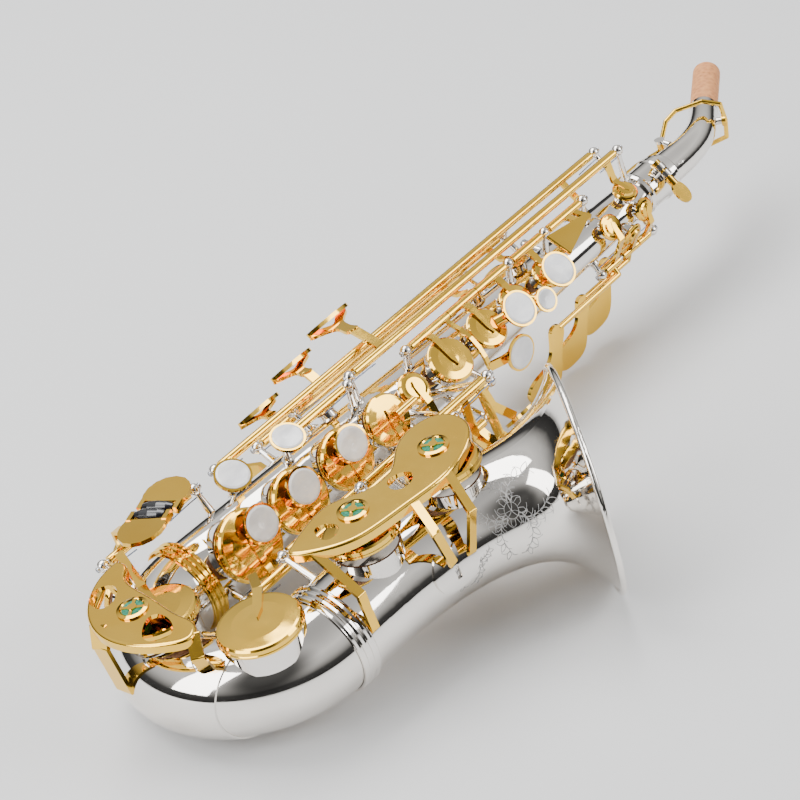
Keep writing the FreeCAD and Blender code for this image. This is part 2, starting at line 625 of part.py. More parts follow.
def lay_out_posts():
    rod_with_posts(LOWER_STACK, 7.2, 119.6, (7.2, 35.2, 64.8, 119.6))
    rod_with_posts(UPPER_STACK, 137.8, 261.0, (137.8, 207.2, 233.0, 261.0))
    rod_with_posts(HIGH_E_ROD, 108.8, 295.6)
    rod_with_posts(ALT_FS_ROD, 65.0, 105.2)
    rod_with_posts(HIGH_FS_ROD, 40.8, 295.6)
    rod_with_posts(SIDE_C_ROD, 88.8, 229.2)
    rod_with_posts(SIDE_BB_ROD, 68.8, 203.2)
    rod_with_posts(PALM_ROD, 256.4, 295.8)


def posts():
    solids = []
    for top, aim, r in POSTS:
        out = unit(V(0, aim.y, aim.z))
        foot = V(top.x, 0, 0) + out * (r - 1.5)
        solids += [cone(foot, top, 1.9, 1.15), bar(foot, foot + out * 2.3, 2.7), ball(top, BALL_R)]
    for top, foot in FREE_POSTS:
        solids += [cone(foot, top, 2.1, 1.15), ball(top, BALL_R)]
    return fuse(solids)


FREE_POSTS = [
    (on(PINKY_ROD, -23.4), bow_point(30)[0] + V(0, 8, 14)),
    (on(PINKY_ROD, 27.4), V(27.4, 7.5, 12.5)),
    (on(G_SHARP_ROD, 160.4), V(160.4, -11.5, -2.5)),
    (on(LOW_BB_ROD, 58.6), V(58.6, -66.0, 12.0)),
    (on(LOW_BB_ROD, 136.8), on(LOW_B_ROD, 136.8)),
    (on(LOW_B_ROD, 17.6), V(17.6, -62.0, 9.0)),
    (on(LOW_B_ROD, 136.8), V(136.8, -12.0, 1.5)),
    (on(LOW_CS_ROD, -3.4), V(-3.4, -60.0, 6.0)),
    (on(LOW_CS_ROD, 121.4), V(121.4, -12.0, 3.0)),
    (on(CS_LEVER_ROD, 109.6), V(109.6, -9.5, -9.0)),
    (on(CS_LEVER_ROD, 147.6), V(147.6, -8.5, -8.5)),
    (V(240, 17.5, 6.6), V(240, 8.5, 5.0)),
    (V(240, 17.5, -6.6), V(240, 8.5, -5.0)),
]


def pivot_rods():
    for line, x0, x1 in ((PINKY_ROD, -23.4, 27.4), (G_SHARP_ROD, 119.6, 160.4), (LOW_BB_ROD, 58.6, 136.8),
                         (LOW_B_ROD, 17.6, 136.8), (LOW_CS_ROD, -3.4, 121.4), (CS_LEVER_ROD, 109.6, 147.6)):
        RODS.append((on(line, x0), on(line, x1)))
    RODS.append((V(240, 17.5, -6.6), V(240, 17.5, 6.6)))
    solids = []
    for a, b in RODS:
        run = unit(b - a)
        solids.append(bar(a - run * 2.75, b + run * 2.75, ROD_R))
    return fuse(solids)


def octave_key():
    """See-saw on the back: thumb touch, vent pad, and the long arm that lifts the neck's key."""
    pivot = V(240, 17.5, 0)
    hub = bar(pivot - V(0, 0, 3.8), pivot + V(0, 0, 3.8), BARREL_R)
    touch = leaf(place(V(219, 18.5, 0), V(0, 1, 0), X_AXIS), 20, 13, 2.0)
    lever = strip([V(224, 19.2, 0), pivot, V(256, 15.8, -3)], 3.2, BAR_T, V(0, 0, 1))
    pad = spin([(0, 0), (3.6, 0), (3.6, 2.2), (0, 2.8)], place(V(256, 12.6, -3), V(0, 1, 0), X_AXIS))
    arm = wire([V(256, 15.8, -3), V(268, 17.0, -3.2), V(309.5, 17.0, -3.2), V(309.5, 14.4, -3.2),
                V(309.5, 14.4, 3.2)], 1.0)
    solid = fuse([hub, touch, lever, pad, arm])
    return solid.cut(bar(pivot - V(0, 0, 9), pivot + V(0, 0, 9), BORE_R))


# ---- neck ---------------------------------------------------------------------------------------
RECEIVER_X = (298.9, 316.0)
TENON_R = 7.95
RECEIVER_BORE = 8.0
SCREW_DEG = 42.0
SCREW_X = 311.0


def receiver():
    """Split socket at the top of the body, with two ears for the clamp screw."""
    x0, x1 = RECEIVER_X
    sleeve = spin([(9.15, x0), (10.4, x0), (10.9, x0 + 1.5), (10.4, x0 + 3), (10.4, x1 - 3),
                   (11.0, x1 - 2), (11.0, x1), (RECEIVER_BORE, x1), (RECEIVER_BORE, BODY_LEN + 0.1),
                   (9.15, BODY_LEN + 0.1)], place(V(0, 0, 0), X_AXIS, V(0, 0, 1)))
    out = radial(SCREW_DEG)
    across = out.cross(X_AXIS)
    ears = [bar(polar(SCREW_X, SCREW_DEG, 12.6) + across * (s * 0.6),
                polar(SCREW_X, SCREW_DEG, 12.6) + across * (s * 3.4), 3.0) for s in (-1, 1)]
    webs = [strip([polar(SCREW_X, SCREW_DEG, 10.0) + across * (s * 2.0),
                   polar(SCREW_X, SCREW_DEG, 13.0) + across * (s * 2.0)], 5.0, 2.6, X_AXIS) for s in (-1, 1)]
    solid = fuse([sleeve] + ears + webs)
    centre = polar(SCREW_X, SCREW_DEG, 12.6)
    slot = Part.makeBox(14.5, 1.2, 9, V(-7.5, -0.6, -4.5))
    slot.Placement = FreeCAD.Placement(polar(RECEIVER_X[1] - 7.0, SCREW_DEG, 12.0),
                                       FreeCAD.Rotation(X_AXIS, across, X_AXIS.cross(across), "XYZ"))
    return solid.cut(slot).cut(bar(centre - across * 6, centre + across * 6, 1.35)).cut(
        Part.makeCylinder(RECEIVER_BORE, 16.5, V(BODY_LEN + 0.1, 0, 0), X_AXIS))


def neck_screw():
    across = X_AXIS.cross(radial(SCREW_DEG))
    centre = polar(SCREW_X, SCREW_DEG, 12.6)
    shank = bar(centre - across * 5.2, centre + across * 7.2, 1.3)
    head = bar(centre + across * 3.6, centre + across * 8.6, 2.1)
    nut = bar(centre - across * 5.6, centre - across * 3.6, 2.4)
    paddle = leaf(place(centre + across * 13.0 - X_AXIS.cross(across) * 0.8, X_AXIS.cross(across),
                        across), 11.5, 7.5, 1.6)
    return fuse([shank, head, nut, paddle])


def neck_axis(s):
    """Point and direction of the neck's centre line, s millimetres past the start of its bend."""
    bend = radians(NECK_BEND)
    arc = NECK_BEND_R * bend
    x0 = 335.0
    if s <= 0:
        return V(x0 + s, 0, 0), X_AXIS
    if s <= arc:
        a = s / NECK_BEND_R
        return V(x0 + NECK_BEND_R * sin(a), NECK_BEND_R * (1 - cos(a)), 0), V(cos(a), sin(a), 0)
    run = V(cos(bend), sin(bend), 0)
    return V(x0 + NECK_BEND_R * sin(bend), NECK_BEND_R * (1 - cos(bend)), 0) + run * (s - arc), run


NECK_ARC = NECK_BEND_R * radians(NECK_BEND)
CORK_S = NECK_ARC + 10.0


def neck_loft(grow, s0, s1):
    steps = [s0 + (s1 - s0) * i / 8 for i in range(9)]
    rate = (8.5 - 5.7) / (CORK_S + CORK_LEN + 13)
    wires = [ring_wire(*neck_axis(s), 8.5 - rate * (s + 13) + grow) for s in steps]
    return Part.makeLoft(wires, True, False)


def neck_tube():
    whole = neck_loft(0, -13, CORK_S + CORK_LEN)
    at = place(V(0, 0, 0), X_AXIS, V(0, 0, 1))
    collar = spin([(6.9, 300.6), (TENON_R, 300.6), (TENON_R, 316.15), (10.8, 316.15), (10.8, 318.4),
                   (9.6, 319.2), (9.6, 321.4), (8.9, 322.4), (6.9, 322.4)], at)
    saddle = [bar(V(338, 12.8, s * 6.4), V(338, 12.8, s * 5.0), 2.5) for s in (-1, 1)]
    saddle += [cone(V(338, 7.2, s * 4.2), V(338, 12.8, s * 5.7), 1.8, 0.7) for s in (-1, 1)]
    point, run = neck_axis(NECK_ARC - 2)
    out = V(run.y, -run.x, 0)
    chimney = bar(point + out * 5.5, point + out * 9.4, 1.7)
    solid = fuse([whole, collar, chimney] + saddle)
    tenon_bore = Part.makeCylinder(6.9, 24, V(299, 0, 0), X_AXIS)
    solid = solid.cut(neck_loft(-0.9, -13, CORK_S + CORK_LEN)).cut(tenon_bore)
    pin = bar(V(338, 12.8, -6.4), V(338, 12.8, 6.4), 0.8)
    return solid.cut(bar(point + out * 3, point + out * 10, 0.9)).fuse(pin)


def neck_octave_key():
    """Loop round the neck with a pad over the vent, on a saddle at the back."""
    pivot = V(338, 12.8, 0)
    hub = bar(pivot - V(0, 0, 3.9), pivot + V(0, 0, 3.9), 1.8)
    point, run = neck_axis(NECK_ARC - 2)
    out = V(run.y, -run.x, 0)
    pad_at = point + out * 9.55
    sides = []
    for s in (-1, 1):
        path = [V(338, 12.8, s * 2.9), V(342.6, 15.4, s * 3.4), V(349, 16.2, s * 9.5), V(356, 15.0, s * 11.6),
                point + out * 2 + V(0, 0, s * 11.8), pad_at + out * 0.6 + V(0, 0, s * 9.0),
                pad_at + out * 1.6]
        sides.append(wire(path, 1.15))
    pad = bar(pad_at, pad_at + out * 2.0, 2.7)
    lever = strip([pivot, V(322, 16.2, 0), V(305.5, 16.5, 0)], 3.0, 1.3, V(0, 0, 1))
    return fuse([hub, pad, lever] + sides).cut(bar(pivot - V(0, 0, 9), pivot + V(0, 0, 9), 0.85))


def neck_cork():
    start, run = neck_axis(CORK_S)
    at = place(start, run, V(0, 0, 1))
    body = spin([(0, 0), (CORK_R - 0.3, 0), (CORK_R, 0.5), (CORK_R, CORK_LEN - 0.8),
                 (CORK_R - 0.8, CORK_LEN), (0, CORK_LEN)], at)
    relief = bar(start + run * (CORK_LEN - 2), start + run * (CORK_LEN + 1), 5.9)
    return body.cut(neck_loft(0.03, -13, CORK_S + CORK_LEN)).cut(relief)


# ---- guards -------------------------------------------------------------------------------------
GUARD_Z = 37.6
GUARD_T = 1.8


def bumper(at):
    """Screw-in cup of a felt bumper, seen as a stepped ring on the guard."""
    return spin([(0, 0), (4.0, 0), (4.0, GUARD_T + 0.1), (6.2, GUARD_T + 0.1), (6.2, GUARD_T + 0.7),
                 (4.9, GUARD_T + 1.1),
                 (4.4, GUARD_T + 0.5), (1.8, GUARD_T + 0.5), (1.8, GUARD_T + 1.4), (0, GUARD_T + 1.4)], at)


def leg(points):
    return strip(points, 3.8, 1.6, X_AXIS)


def hood(outline, at, skirt):
    """Guard plate with a rounded upper edge and a short skirt all round."""
    block = plate(outline, at, -skirt, GUARD_T)
    rim = [e for e in block.Edges if e.BoundBox.ZMin > at.Base.z + GUARD_T - 0.05]
    block = block.makeFillet(1.3, rim)
    floor = plate(outline, at, -skirt - 1, 0).Faces
    low = min(floor, key=lambda face: face.CenterOfMass.z)
    inner = [at.inverse().multVec(p) for p in low.OuterWire.makeOffset2D(-1.7).discretize(70)[:-1]]
    return block.cut(plate([(p.x, p.y) for p in inner], at, -skirt - 1, 0))


def bell_key_guard():
    at = place(V(0, 0, GUARD_Z), V(0, 0, 1), X_AXIS)
    outline = [(4, -70), (18, -66), (31, -66), (42, -73), (55, -75), (66, -68), (80, -64), (92, -70),
               (92, -83), (80, -93), (62, -98), (44, -96), (26, -93), (10, -84)]
    sheet = hood(outline, at, 2.3)
    cuts = [plate([(48, -81), (54, -79), (58, -84), (50, -88)], at, -1, GUARD_T + 1),
            plate([(14, -76), (19, -72), (22, -79), (17, -82)], at, -1, GUARD_T + 1)]
    for x, y in BUMPERS[:2]:
        sheet = sheet.cut(bar(V(x, y, GUARD_Z - 1), V(x, y, GUARD_Z + 4), 4.02))
    sheet = sheet.cut(fuse_compound(cuts))
    skirt = [leg([V(8, -78, GUARD_Z + 0.6), V(8, -98.0, 24.0), V(8, -99.0, 8)]),
             leg([V(46, -95, GUARD_Z + 0.6), V(44, -104.5, 27), V(48, -103.9, 9.5)]),
             leg([V(64, -97, GUARD_Z + 0.6), V(60, -108.8, 27), V(56, -106.4, 9.5)]),
             leg([V(90, -72, GUARD_Z + 0.6), V(93, -67.5, 26), V(93, -73.0, 19.0)])]
    return fuse([sheet] + skirt).cut(bell_loft(0.05)).cut(FERRULE_ROOM)


BUMPERS = ((31.0, -78.5), (74.0, -81.5), (-43.0, -31.0))


def guard_bumpers():
    spots = [place(V(x, y, GUARD_Z if i < 2 else BOW_GUARD_Z), V(0, 0, 1), X_AXIS)
             for i, (x, y) in enumerate(BUMPERS)]
    return Part.makeCompound([bumper(at) for at in spots])


def guard_felts():
    felts = []
    for i, (x, y) in enumerate(BUMPERS):
        z = GUARD_Z if i < 2 else BOW_GUARD_Z
        felts.append(Part.makeCylinder(3.6, 2.0, V(x, y, z - 2.02), V(0, 0, 1)))
    return Part.makeCompound(felts)


def guard_foot():
    """Shield-shaped plate on the bell under the guard's forked leg."""
    at = place(V(50, -81.9, 0), V(0, -0.97, 0.25), V(1, -0.05, 0))
    outline = [(-9, -5), (0, -9.5), (9, -5), (8, 5), (4, 8), (0, 5), (-4, 8), (-8, 5)]
    block = plate(outline, at, 12, 30)
    shell = bell_loft(1.0).cut(bell_loft(0.06))
    slot = plate([(-1.0, -5), (1.0, -5), (1.0, 1), (-1.0, 1)], at, 10, 32, smooth=False)
    return shell.common(block).cut(slot)


BOW_GUARD_Z = 32.4


def bow_key_guard():
    """Half-moon guard over the low C cup, on three legs."""
    at = place(V(0, 0, BOW_GUARD_Z), V(0, 0, 1), X_AXIS)
    outline = [(-27, -2), (-36, -3), (-47, -9), (-56, -20), (-59.5, -34), (-57, -48), (-51, -59),
               (-44, -64.5),
               (-38.5, -61), (-37, -50), (-35.5, -38), (-34, -25), (-30, -12), (-25.5, -7)]
    sheet = hood(outline, at, 2.0)
    x, y = BUMPERS[2]
    sheet = sheet.cut(bar(V(x, y, BOW_GUARD_Z - 1), V(x, y, BOW_GUARD_Z + 4), 4.02))
    windows = [plate([(-49, -14), (-41, -8), (-37, -12), (-44, -20)], at, -1, GUARD_T + 1),
               plate([(-50, -44), (-41, -42), (-42, -52), (-47, -56)], at, -1, GUARD_T + 1)]
    sheet = sheet.cut(fuse_compound(windows))
    legs = [strip([V(-55, -24, BOW_GUARD_Z + 0.6), V(-58.6, -26, 26), V(-57.6, -28, 5)], 9.0, 1.6,
                  V(0, 1, 0)),
            strip([V(-42, -63, BOW_GUARD_Z + 0.6), V(-46.5, -67.5, 27), V(-42.5, -64.0, 16)], 5.0, 1.6,
                  V(1, -1, 0)),
            strip([V(-28, -3, BOW_GUARD_Z + 0.6), V(-30.5, 1.5, 27), V(-27.5, -1.5, 15)], 5.0, 1.6,
                  V(1, 0.6, 0))]
    return fuse([sheet] + legs).cut(bow_loft(0.05)).cut(bow_guard_plate())


def eb_key_guard():
    """Bent-wire guard over the E flat cup, at the back of the bow."""
    rim = HOLES["eb"].rim
    out = HOLES["eb"].out
    side = unit(out.cross(V(0, 0, 1)))
    up = side.cross(out)
    top = rim + out * 9.2
    path = [rim - out * 2.6 + side * 14.5 - up * 6, top + side * 14.5 - up * 6, top - up * 2,
            top - side * 11.5 - up * 9.0, rim - out * 3.4 - side * 11.5 - up * 9.0]
    return wire(path, 1.4).cut(bow_loft(0.05)).cut(bow_guard_plate()).cut(BODY_SOLID).cut(FERRULE_ROOM)


def bell_brace():
    """Strut between body and bell, with a ring in its middle."""
    a, b = V(100, -11.5, -12.5), V(86, -68.5, -13.5)
    middle = (a + b) * 0.5
    run = unit(b - a)
    ring = Part.makeTorus(7.0, 1.7, middle, V(0, 0, 1))
    bars = [bar(a, middle - run * 7.0, 2.2), bar(middle + run * 7.0, b, 2.2)]
    feet = [bar(a, a + run * 2.6, 4.5), bar(b - run * 2.6, b, 5.0)]
    return fuse([ring] + bars + feet).cut(BODY_SOLID).cut(bell_loft(0.04))


def strap_ring():
    at = V(96, body_r(96) + 7.2, 0)
    ring = fuse([Part.makeTorus(5.2, 1.5, at, V(0, 0, 1)), bar(V(96, 13.0, 0), V(96, at.y - 4.6, 0), 2.4)])
    return ring.cut(bar(at - V(0, 0, 3), at + V(0, 0, 3), STRAP_RING_R)).cut(BODY_SOLID)


def thumb_hook():
    base = strip([V(48, body_r(48) + 1.0, 0), V(70, body_r(70) + 1.2, 0)], 9.0, 2.4, V(0, 0, 1))
    hook = strip([V(66, 17.0, 0), V(67.5, 24, 0), V(63, 31, 0), V(56, 33.5, 0)], 10.0, 2.2, V(0, 0, 1))
    return fuse([base, hook]).cut(BODY_SOLID)


def thumb_rest():
    at = place(V(182, body_r(182) - 1.0, 0), V(0, 1, 0), X_AXIS)
    return spin([(0, 0), (6.5, 0), (6.5, 2.4), (5.6, 3.4), (0, 4.2)], at).cut(BODY_SOLID)


FERRULE_ROOM = fuse_compound([Part.makeCylinder(19.45, 7.4, V(-3.7, 0, 0), X_AXIS),
                              Part.makeCylinder(22.05, 9.2, V(-2.5, -2 * BOW_R, 0), X_AXIS)])
BODY_SOLID = Part.makeCone(BODY_R_LOW + 0.02, BODY_R_TOP + 0.02, BODY_LEN, V(0, 0, 0), X_AXIS)


# ---- the instrument lies on its left side: bell rim, bow and a palm key touch the floor -----------
FLOOR_NORMAL = V(0.11516, -0.11418, 0.98676)
FOOTPRINT = V(173.642, -49.500, -20.662)     # middle of the footprint, after the turn
LAID = place(V(0, 0, 0), FLOOR_NORMAL, X_AXIS).inverse()
LAID.Base = LAID.Base - FOOTPRINT


# ---- put the instrument together ----------------------------------------------------------------
def build():
    lay_out_posts()
    lower_stack()
    upper_stack()
    g_sharp()
    side_keys()
    right_hand_extras()
    palm_keys()
    front_f()
    low_keys()
    pinky_keys()
    rods = pivot_rods()
    rod_room = fuse_compound([bar(a - unit(b - a) * 3, b + unit(b - a) * 3, ROD_R + 0.02) for a, b in RODS])
    joint_ring = ridged_ring(-2.4, 6.6, 20.6, 22.0, -2 * BOW_R, 3)
    pillars = posts().cut(BODY_SOLID).cut(bow_loft(0.02)).cut(bell_loft(0.02))
    nodes = {
        "body_tube": body_tube(),
        "bow": bow(),
        "bell": bell(),
        "body_ferrule": ridged_ring(-3.6, 3.6, 17.55, 19.4, 0, 3).cut(bow_loft(0.03)),
        "bell_ferrule": joint_ring.cut(bow_loft(0.03)).cut(bell_loft(0.03)),
        "bow_guard_plate": bow_guard_plate(),
        "posts": pillars.cut(FERRULE_ROOM).cut(rod_room),
        "pivot_rods": rods,
        "neck_receiver": receiver(),
        "neck_screw": neck_screw(),
        "neck_tube": neck_tube(),
        "neck_cork": neck_cork(),
        "neck_octave_key": neck_octave_key(),
        "octave_key": octave_key(),
        "bell_key_guard": bell_key_guard(),
        "guard_foot": guard_foot(),
        "bow_key_guard": bow_key_guard(),
        "e_flat_guard": eb_key_guard(),
        "guard_bumpers": guard_bumpers(),
        "guard_felts": guard_felts(),
        "bell_brace": bell_brace(),
        "strap_ring": strap_ring(),
        "thumb_hook": thumb_hook(),
        "thumb_rest": thumb_rest(),
    }
    nodes.update({name: key[0] for name, key in KEYS.items()})
    nodes.update(PEARLS)
    return nodes


if __name__ == "__main__":
    os.makedirs("parts", exist_ok=True)
    for node, shape in build().items():
        put(shape, LAID).exportStep(f"parts/{node}.step")
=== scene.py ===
import json
import math
import random

import bmesh
import bpy
from mathutils import Matrix, Quaternion, Vector


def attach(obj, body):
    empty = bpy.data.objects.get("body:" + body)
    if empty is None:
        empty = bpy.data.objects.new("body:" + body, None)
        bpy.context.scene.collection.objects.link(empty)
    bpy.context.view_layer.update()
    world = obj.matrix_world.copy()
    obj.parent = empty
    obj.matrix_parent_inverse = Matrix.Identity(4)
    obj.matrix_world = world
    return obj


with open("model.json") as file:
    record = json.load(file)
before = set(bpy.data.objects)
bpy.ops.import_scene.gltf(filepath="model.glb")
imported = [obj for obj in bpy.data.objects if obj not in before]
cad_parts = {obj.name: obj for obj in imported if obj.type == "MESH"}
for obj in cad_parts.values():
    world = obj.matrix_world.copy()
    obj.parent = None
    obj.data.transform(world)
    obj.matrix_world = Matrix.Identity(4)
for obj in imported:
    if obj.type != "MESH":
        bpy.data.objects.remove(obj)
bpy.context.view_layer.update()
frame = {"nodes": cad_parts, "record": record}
random.seed(7)
MM = 0.001

# ---- the instrument's own axes, in mm: X up the body tube, Y to the player, Z to its right -------
FLOOR_NORMAL = Vector((0.11516, -0.11418, 0.98676)).normalized()
FOOTPRINT = Vector((173.642, -49.500, -20.662))
ROW_X = (Vector((1, 0, 0)) - FLOOR_NORMAL * FLOOR_NORMAL.x).normalized()
TURN = Matrix((ROW_X, FLOOR_NORMAL.cross(ROW_X), FLOOR_NORMAL))


def spot(p):
    """A point of the instrument, in the part's frame and in metres."""
    return (TURN @ Vector(p) - FOOTPRINT) * MM


# ---- materials ----------------------------------------------------------------------------------
def shader(name, metallic, coat=0.0):
    """A new material, its node tree and its main shader."""
    mat = bpy.data.materials.new(name)
    mat.use_nodes = True
    bsdf = mat.node_tree.nodes["Principled BSDF"]
    bsdf.inputs["Metallic"].default_value = metallic
    bsdf.inputs["Coat Weight"].default_value = coat
    return mat, mat.node_tree, bsdf


def noise(tree, scale, detail=3.0, stretch=(1, 1, 1)):
    """Noise that stays with the object."""
    coord = tree.nodes.new("ShaderNodeTexCoord")
    mapping = tree.nodes.new("ShaderNodeMapping")
    mapping.inputs["Scale"].default_value = stretch
    tex = tree.nodes.new("ShaderNodeTexNoise")
    tex.inputs["Scale"].default_value = scale
    tex.inputs["Detail"].default_value = detail
    tree.links.new(coord.outputs["Object"], mapping.inputs["Vector"])
    tree.links.new(mapping.outputs["Vector"], tex.inputs["Vector"])
    return tex


def ramp(tree, source, stops, target):
    """Colours a value by stops of (position, colour)."""
    node = tree.nodes.new("ShaderNodeValToRGB")
    node.color_ramp.elements[0].position = stops[0][0]
    node.color_ramp.elements[0].color = (*stops[0][1], 1)
    node.color_ramp.elements[1].position = stops[-1][0]
    node.color_ramp.elements[1].color = (*stops[-1][1], 1)
    for at, colour in stops[1:-1]:
        node.color_ramp.elements.new(at).color = (*colour, 1)
    tree.links.new(source, node.inputs["Fac"])
    tree.links.new(node.outputs["Color"], target)


def spread(tree, source, low, high, target):
    """Stretches the middle of a noise to a range."""
    node = tree.nodes.new("ShaderNodeMapRange")
    for socket, value in (("From Min", 0.35), ("From Max", 0.65), ("To Min", low), ("To Max", high)):
        node.inputs[socket].default_value = value
    tree.links.new(source, node.inputs["Value"])
    tree.links.new(node.outputs["Result"], target)


def bump(tree, source, bsdf, strength, distance):
    node = tree.nodes.new("ShaderNodeBump")
    node.inputs["Strength"].default_value = strength
    node.inputs["Distance"].default_value = distance
    tree.links.new(source, node.inputs["Height"])
    tree.links.new(node.outputs["Normal"], bsdf.inputs["Normal"])


def metal(name, dark, light, rough, coat=0.0):
    """Polished metal: broad tint variation and fine variation in roughness."""
    mat, tree, bsdf = shader(name, 1.0, coat)
    broad = noise(tree, 30.0)
    ramp(tree, broad.outputs["Fac"], [(0.3, dark), (0.7, light)], bsdf.inputs["Base Color"])
    fine = noise(tree, 240.0, 5.0)
    spread(tree, fine.outputs["Fac"], rough[0], rough[1], bsdf.inputs["Roughness"])
    return mat


def soft(name, dark, light, scale, rough, strength=0.0, coat=0.0, stretch=(1, 1, 1)):
    """Anything that isn't metal: grain in colour and roughness, and in relief if strength is given."""
    mat, tree, bsdf = shader(name, 0.0, coat)
    grain = noise(tree, scale, 6.0, stretch)
    ramp(tree, grain.outputs["Fac"], [(0.35, dark), (0.65, light)], bsdf.inputs["Base Color"])
    spread(tree, grain.outputs["Fac"], rough[0], rough[1], bsdf.inputs["Roughness"])
    if strength:
        bump(tree, grain.outputs["Fac"], bsdf, strength, 0.0004)
    return mat


def cork_material():
    mat, tree, bsdf = shader("cork", 0.0)
    coord = tree.nodes.new("ShaderNodeTexCoord")
    cells = tree.nodes.new("ShaderNodeTexVoronoi")
    cells.inputs["Scale"].default_value = 420.0
    tree.links.new(coord.outputs["Object"], cells.inputs["Vector"])
    ramp(tree, cells.outputs["Distance"], [(0.0, (0.26, 0.08, 0.03)), (0.16, (0.58, 0.23, 0.085)),
                                           (0.9, (0.76, 0.34, 0.13))], bsdf.inputs["Base Color"])
    grain = noise(tree, 500.0, 6.0)
    spread(tree, grain.outputs["Fac"], 0.6, 0.85, bsdf.inputs["Roughness"])
    bump(tree, cells.outputs["Distance"], bsdf, 0.25, 0.0003)
    return mat


SILVER = metal("silver", (0.81, 0.77, 0.72), (0.93, 0.89, 0.84), (0.035, 0.07))
GOLD = metal("gold", (0.93, 0.54, 0.05), (1.0, 0.63, 0.09), (0.05, 0.11), 0.15)
STEEL = metal("steel", (0.48, 0.49, 0.52), (0.66, 0.67, 0.70), (0.14, 0.25))
SPRING = metal("spring_steel", (0.10, 0.13, 0.22), (0.22, 0.28, 0.42), (0.18, 0.3))
PEARL = soft("pearl", (0.78, 0.78, 0.80), (0.98, 0.98, 0.97), 110.0, (0.12, 0.22), coat=0.6,
             stretch=(1, 2.5, 1))
ROLLER = soft("roller", (0.004, 0.004, 0.006), (0.012, 0.012, 0.016), 90.0, (0.08, 0.16), coat=0.7)
FELT = soft("felt", (0.01, 0.12, 0.07), (0.03, 0.30, 0.18), 900.0, (0.85, 0.95), 0.5)
LEATHER = soft("leather", (0.16, 0.07, 0.03), (0.34, 0.17, 0.08), 500.0, (0.5, 0.65), 0.4)
ENGRAVED = soft("engraved", (0.34, 0.34, 0.34), (0.62, 0.61, 0.60), 700.0, (0.5, 0.7))
DARK = soft("slot_shadow", (0.01, 0.01, 0.01), (0.04, 0.035, 0.03), 600.0, (0.5, 0.7))
FLOOR = soft("floor", (0.74, 0.745, 0.75), (0.77, 0.775, 0.78), 1.5, (0.75, 0.85))
BY_SLOT = {"silver_body": SILVER, "gold_lacquer": GOLD, "steel": STEEL, "pearl": PEARL, "roller": ROLLER,
           "thumb_rest": ROLLER, "felt": FELT, "cork": cork_material()}

for part in frame["record"]["subparts"]:
    node = frame["nodes"][part["node"]]
    node.data.materials.clear()
    node.data.materials.append(BY_SLOT[part["material_slot"]])


# ---- building pieces ----------------------------------------------------------------------------
def piece(name, data, mat, body):
    """Adds a mesh or a curve with its material, riding on a body."""
    obj = bpy.data.objects.new(name, data)
    bpy.context.scene.collection.objects.link(obj)
    data.materials.append(mat)
    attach(obj, body)
    return obj


def lathe_into(bm, profile, centre, axis, steps=40):
    """Adds a turned solid: profile of (radius, height) in millimetres, about an axis."""
    axis = Vector(axis).normalized()
    side = axis.orthogonal().normalized()
    other = axis.cross(side)
    rings = []
    for r, h in profile:
        ring = []
        for i in range(steps):
            a = 2 * math.pi * i / steps
            p = Vector(centre) + axis * h + (side * math.cos(a) + other * math.sin(a)) * r
            ring.append(bm.verts.new(spot(p)))
        rings.append(ring)
    for low, high in zip(rings, rings[1:]):
        for i in range(steps):
            j = (i + 1) % steps
            bm.faces.new((low[i], low[j], high[j], high[i]))
    bm.faces.new(list(reversed(rings[0])))
    bm.faces.new(rings[-1])


def block_into(bm, centre, u, v, w, size):
    """Adds a box with sides along u, v and w."""
    u, v, w = (Vector(a).normalized() for a in (u, v, w))
    corners = []
    for i in (-0.5, 0.5):
        for j in (-0.5, 0.5):
            for k in (-0.5, 0.5):
                corner = Vector(centre) + u * size[0] * i + v * size[1] * j + w * size[2] * k
                corners.append(bm.verts.new(spot(corner)))
    for f in ((0, 1, 3, 2), (4, 6, 7, 5), (0, 4, 5, 1), (2, 3, 7, 6), (0, 2, 6, 4), (1, 5, 7, 3)):
        bm.faces.new([corners[i] for i in f])


def close(bm, name, mat, body, smooth=True):
    """Turns finished mesh code into a piece."""
    bmesh.ops.recalc_face_normals(bm, faces=bm.faces)
    mesh = bpy.data.meshes.new(name)
    bm.to_mesh(mesh)
    bm.free()
    for face in mesh.polygons:
        face.use_smooth = smooth
    return piece(name, mesh, mat, body)


def wires(name, lines, r, mat, body):
    """Round wires through points, as one curve object."""
    curve = bpy.data.curves.new(name, "CURVE")
    curve.dimensions = "3D"
    curve.bevel_depth = r * MM
    curve.bevel_resolution = 3
    curve.use_fill_caps = True
    for points in lines:
        spline = curve.splines.new("POLY")
        spline.points.add(len(points) - 1)
        for control, p in zip(spline.points, points):
            control.co = (*spot(p), 1)
    return piece(name, curve, mat, body)


# ---- tone holes and their pads ------------------------------------------------------------------
BODY_LEN = 300.0
BODY_R = (17.5, 9.0)         # radius at the bow and at the neck
BOW_R = 39.1                 # radius of the bow's centre line
BOW_TUBE = (17.7, 20.5)      # radius at the body and at the bell
UP = Vector((0, 0, 1))
CUP_INSET = 1.15             # a pad is this much smaller than its key's cup
LARGE_CUP = 7.0              # larger cups carry a resonator


def body_r(x):
    return BODY_R[0] + (BODY_R[1] - BODY_R[0]) * x / BODY_LEN


def radial(deg):
    return Vector((0, -math.cos(math.radians(deg)), math.sin(math.radians(deg))))


def body_hole(x, deg, cup_r, lift=2.4):
    """Middle of a chimney's rim, its direction and the radius of its key's cup."""
    out = radial(deg)
    return Vector((x, 0, 0)) + out * (body_r(x) + lift), out, cup_r


def up_hole(x, y, tube_r, cup_r):
    return Vector((x, y, tube_r + 2.6)), UP, cup_r


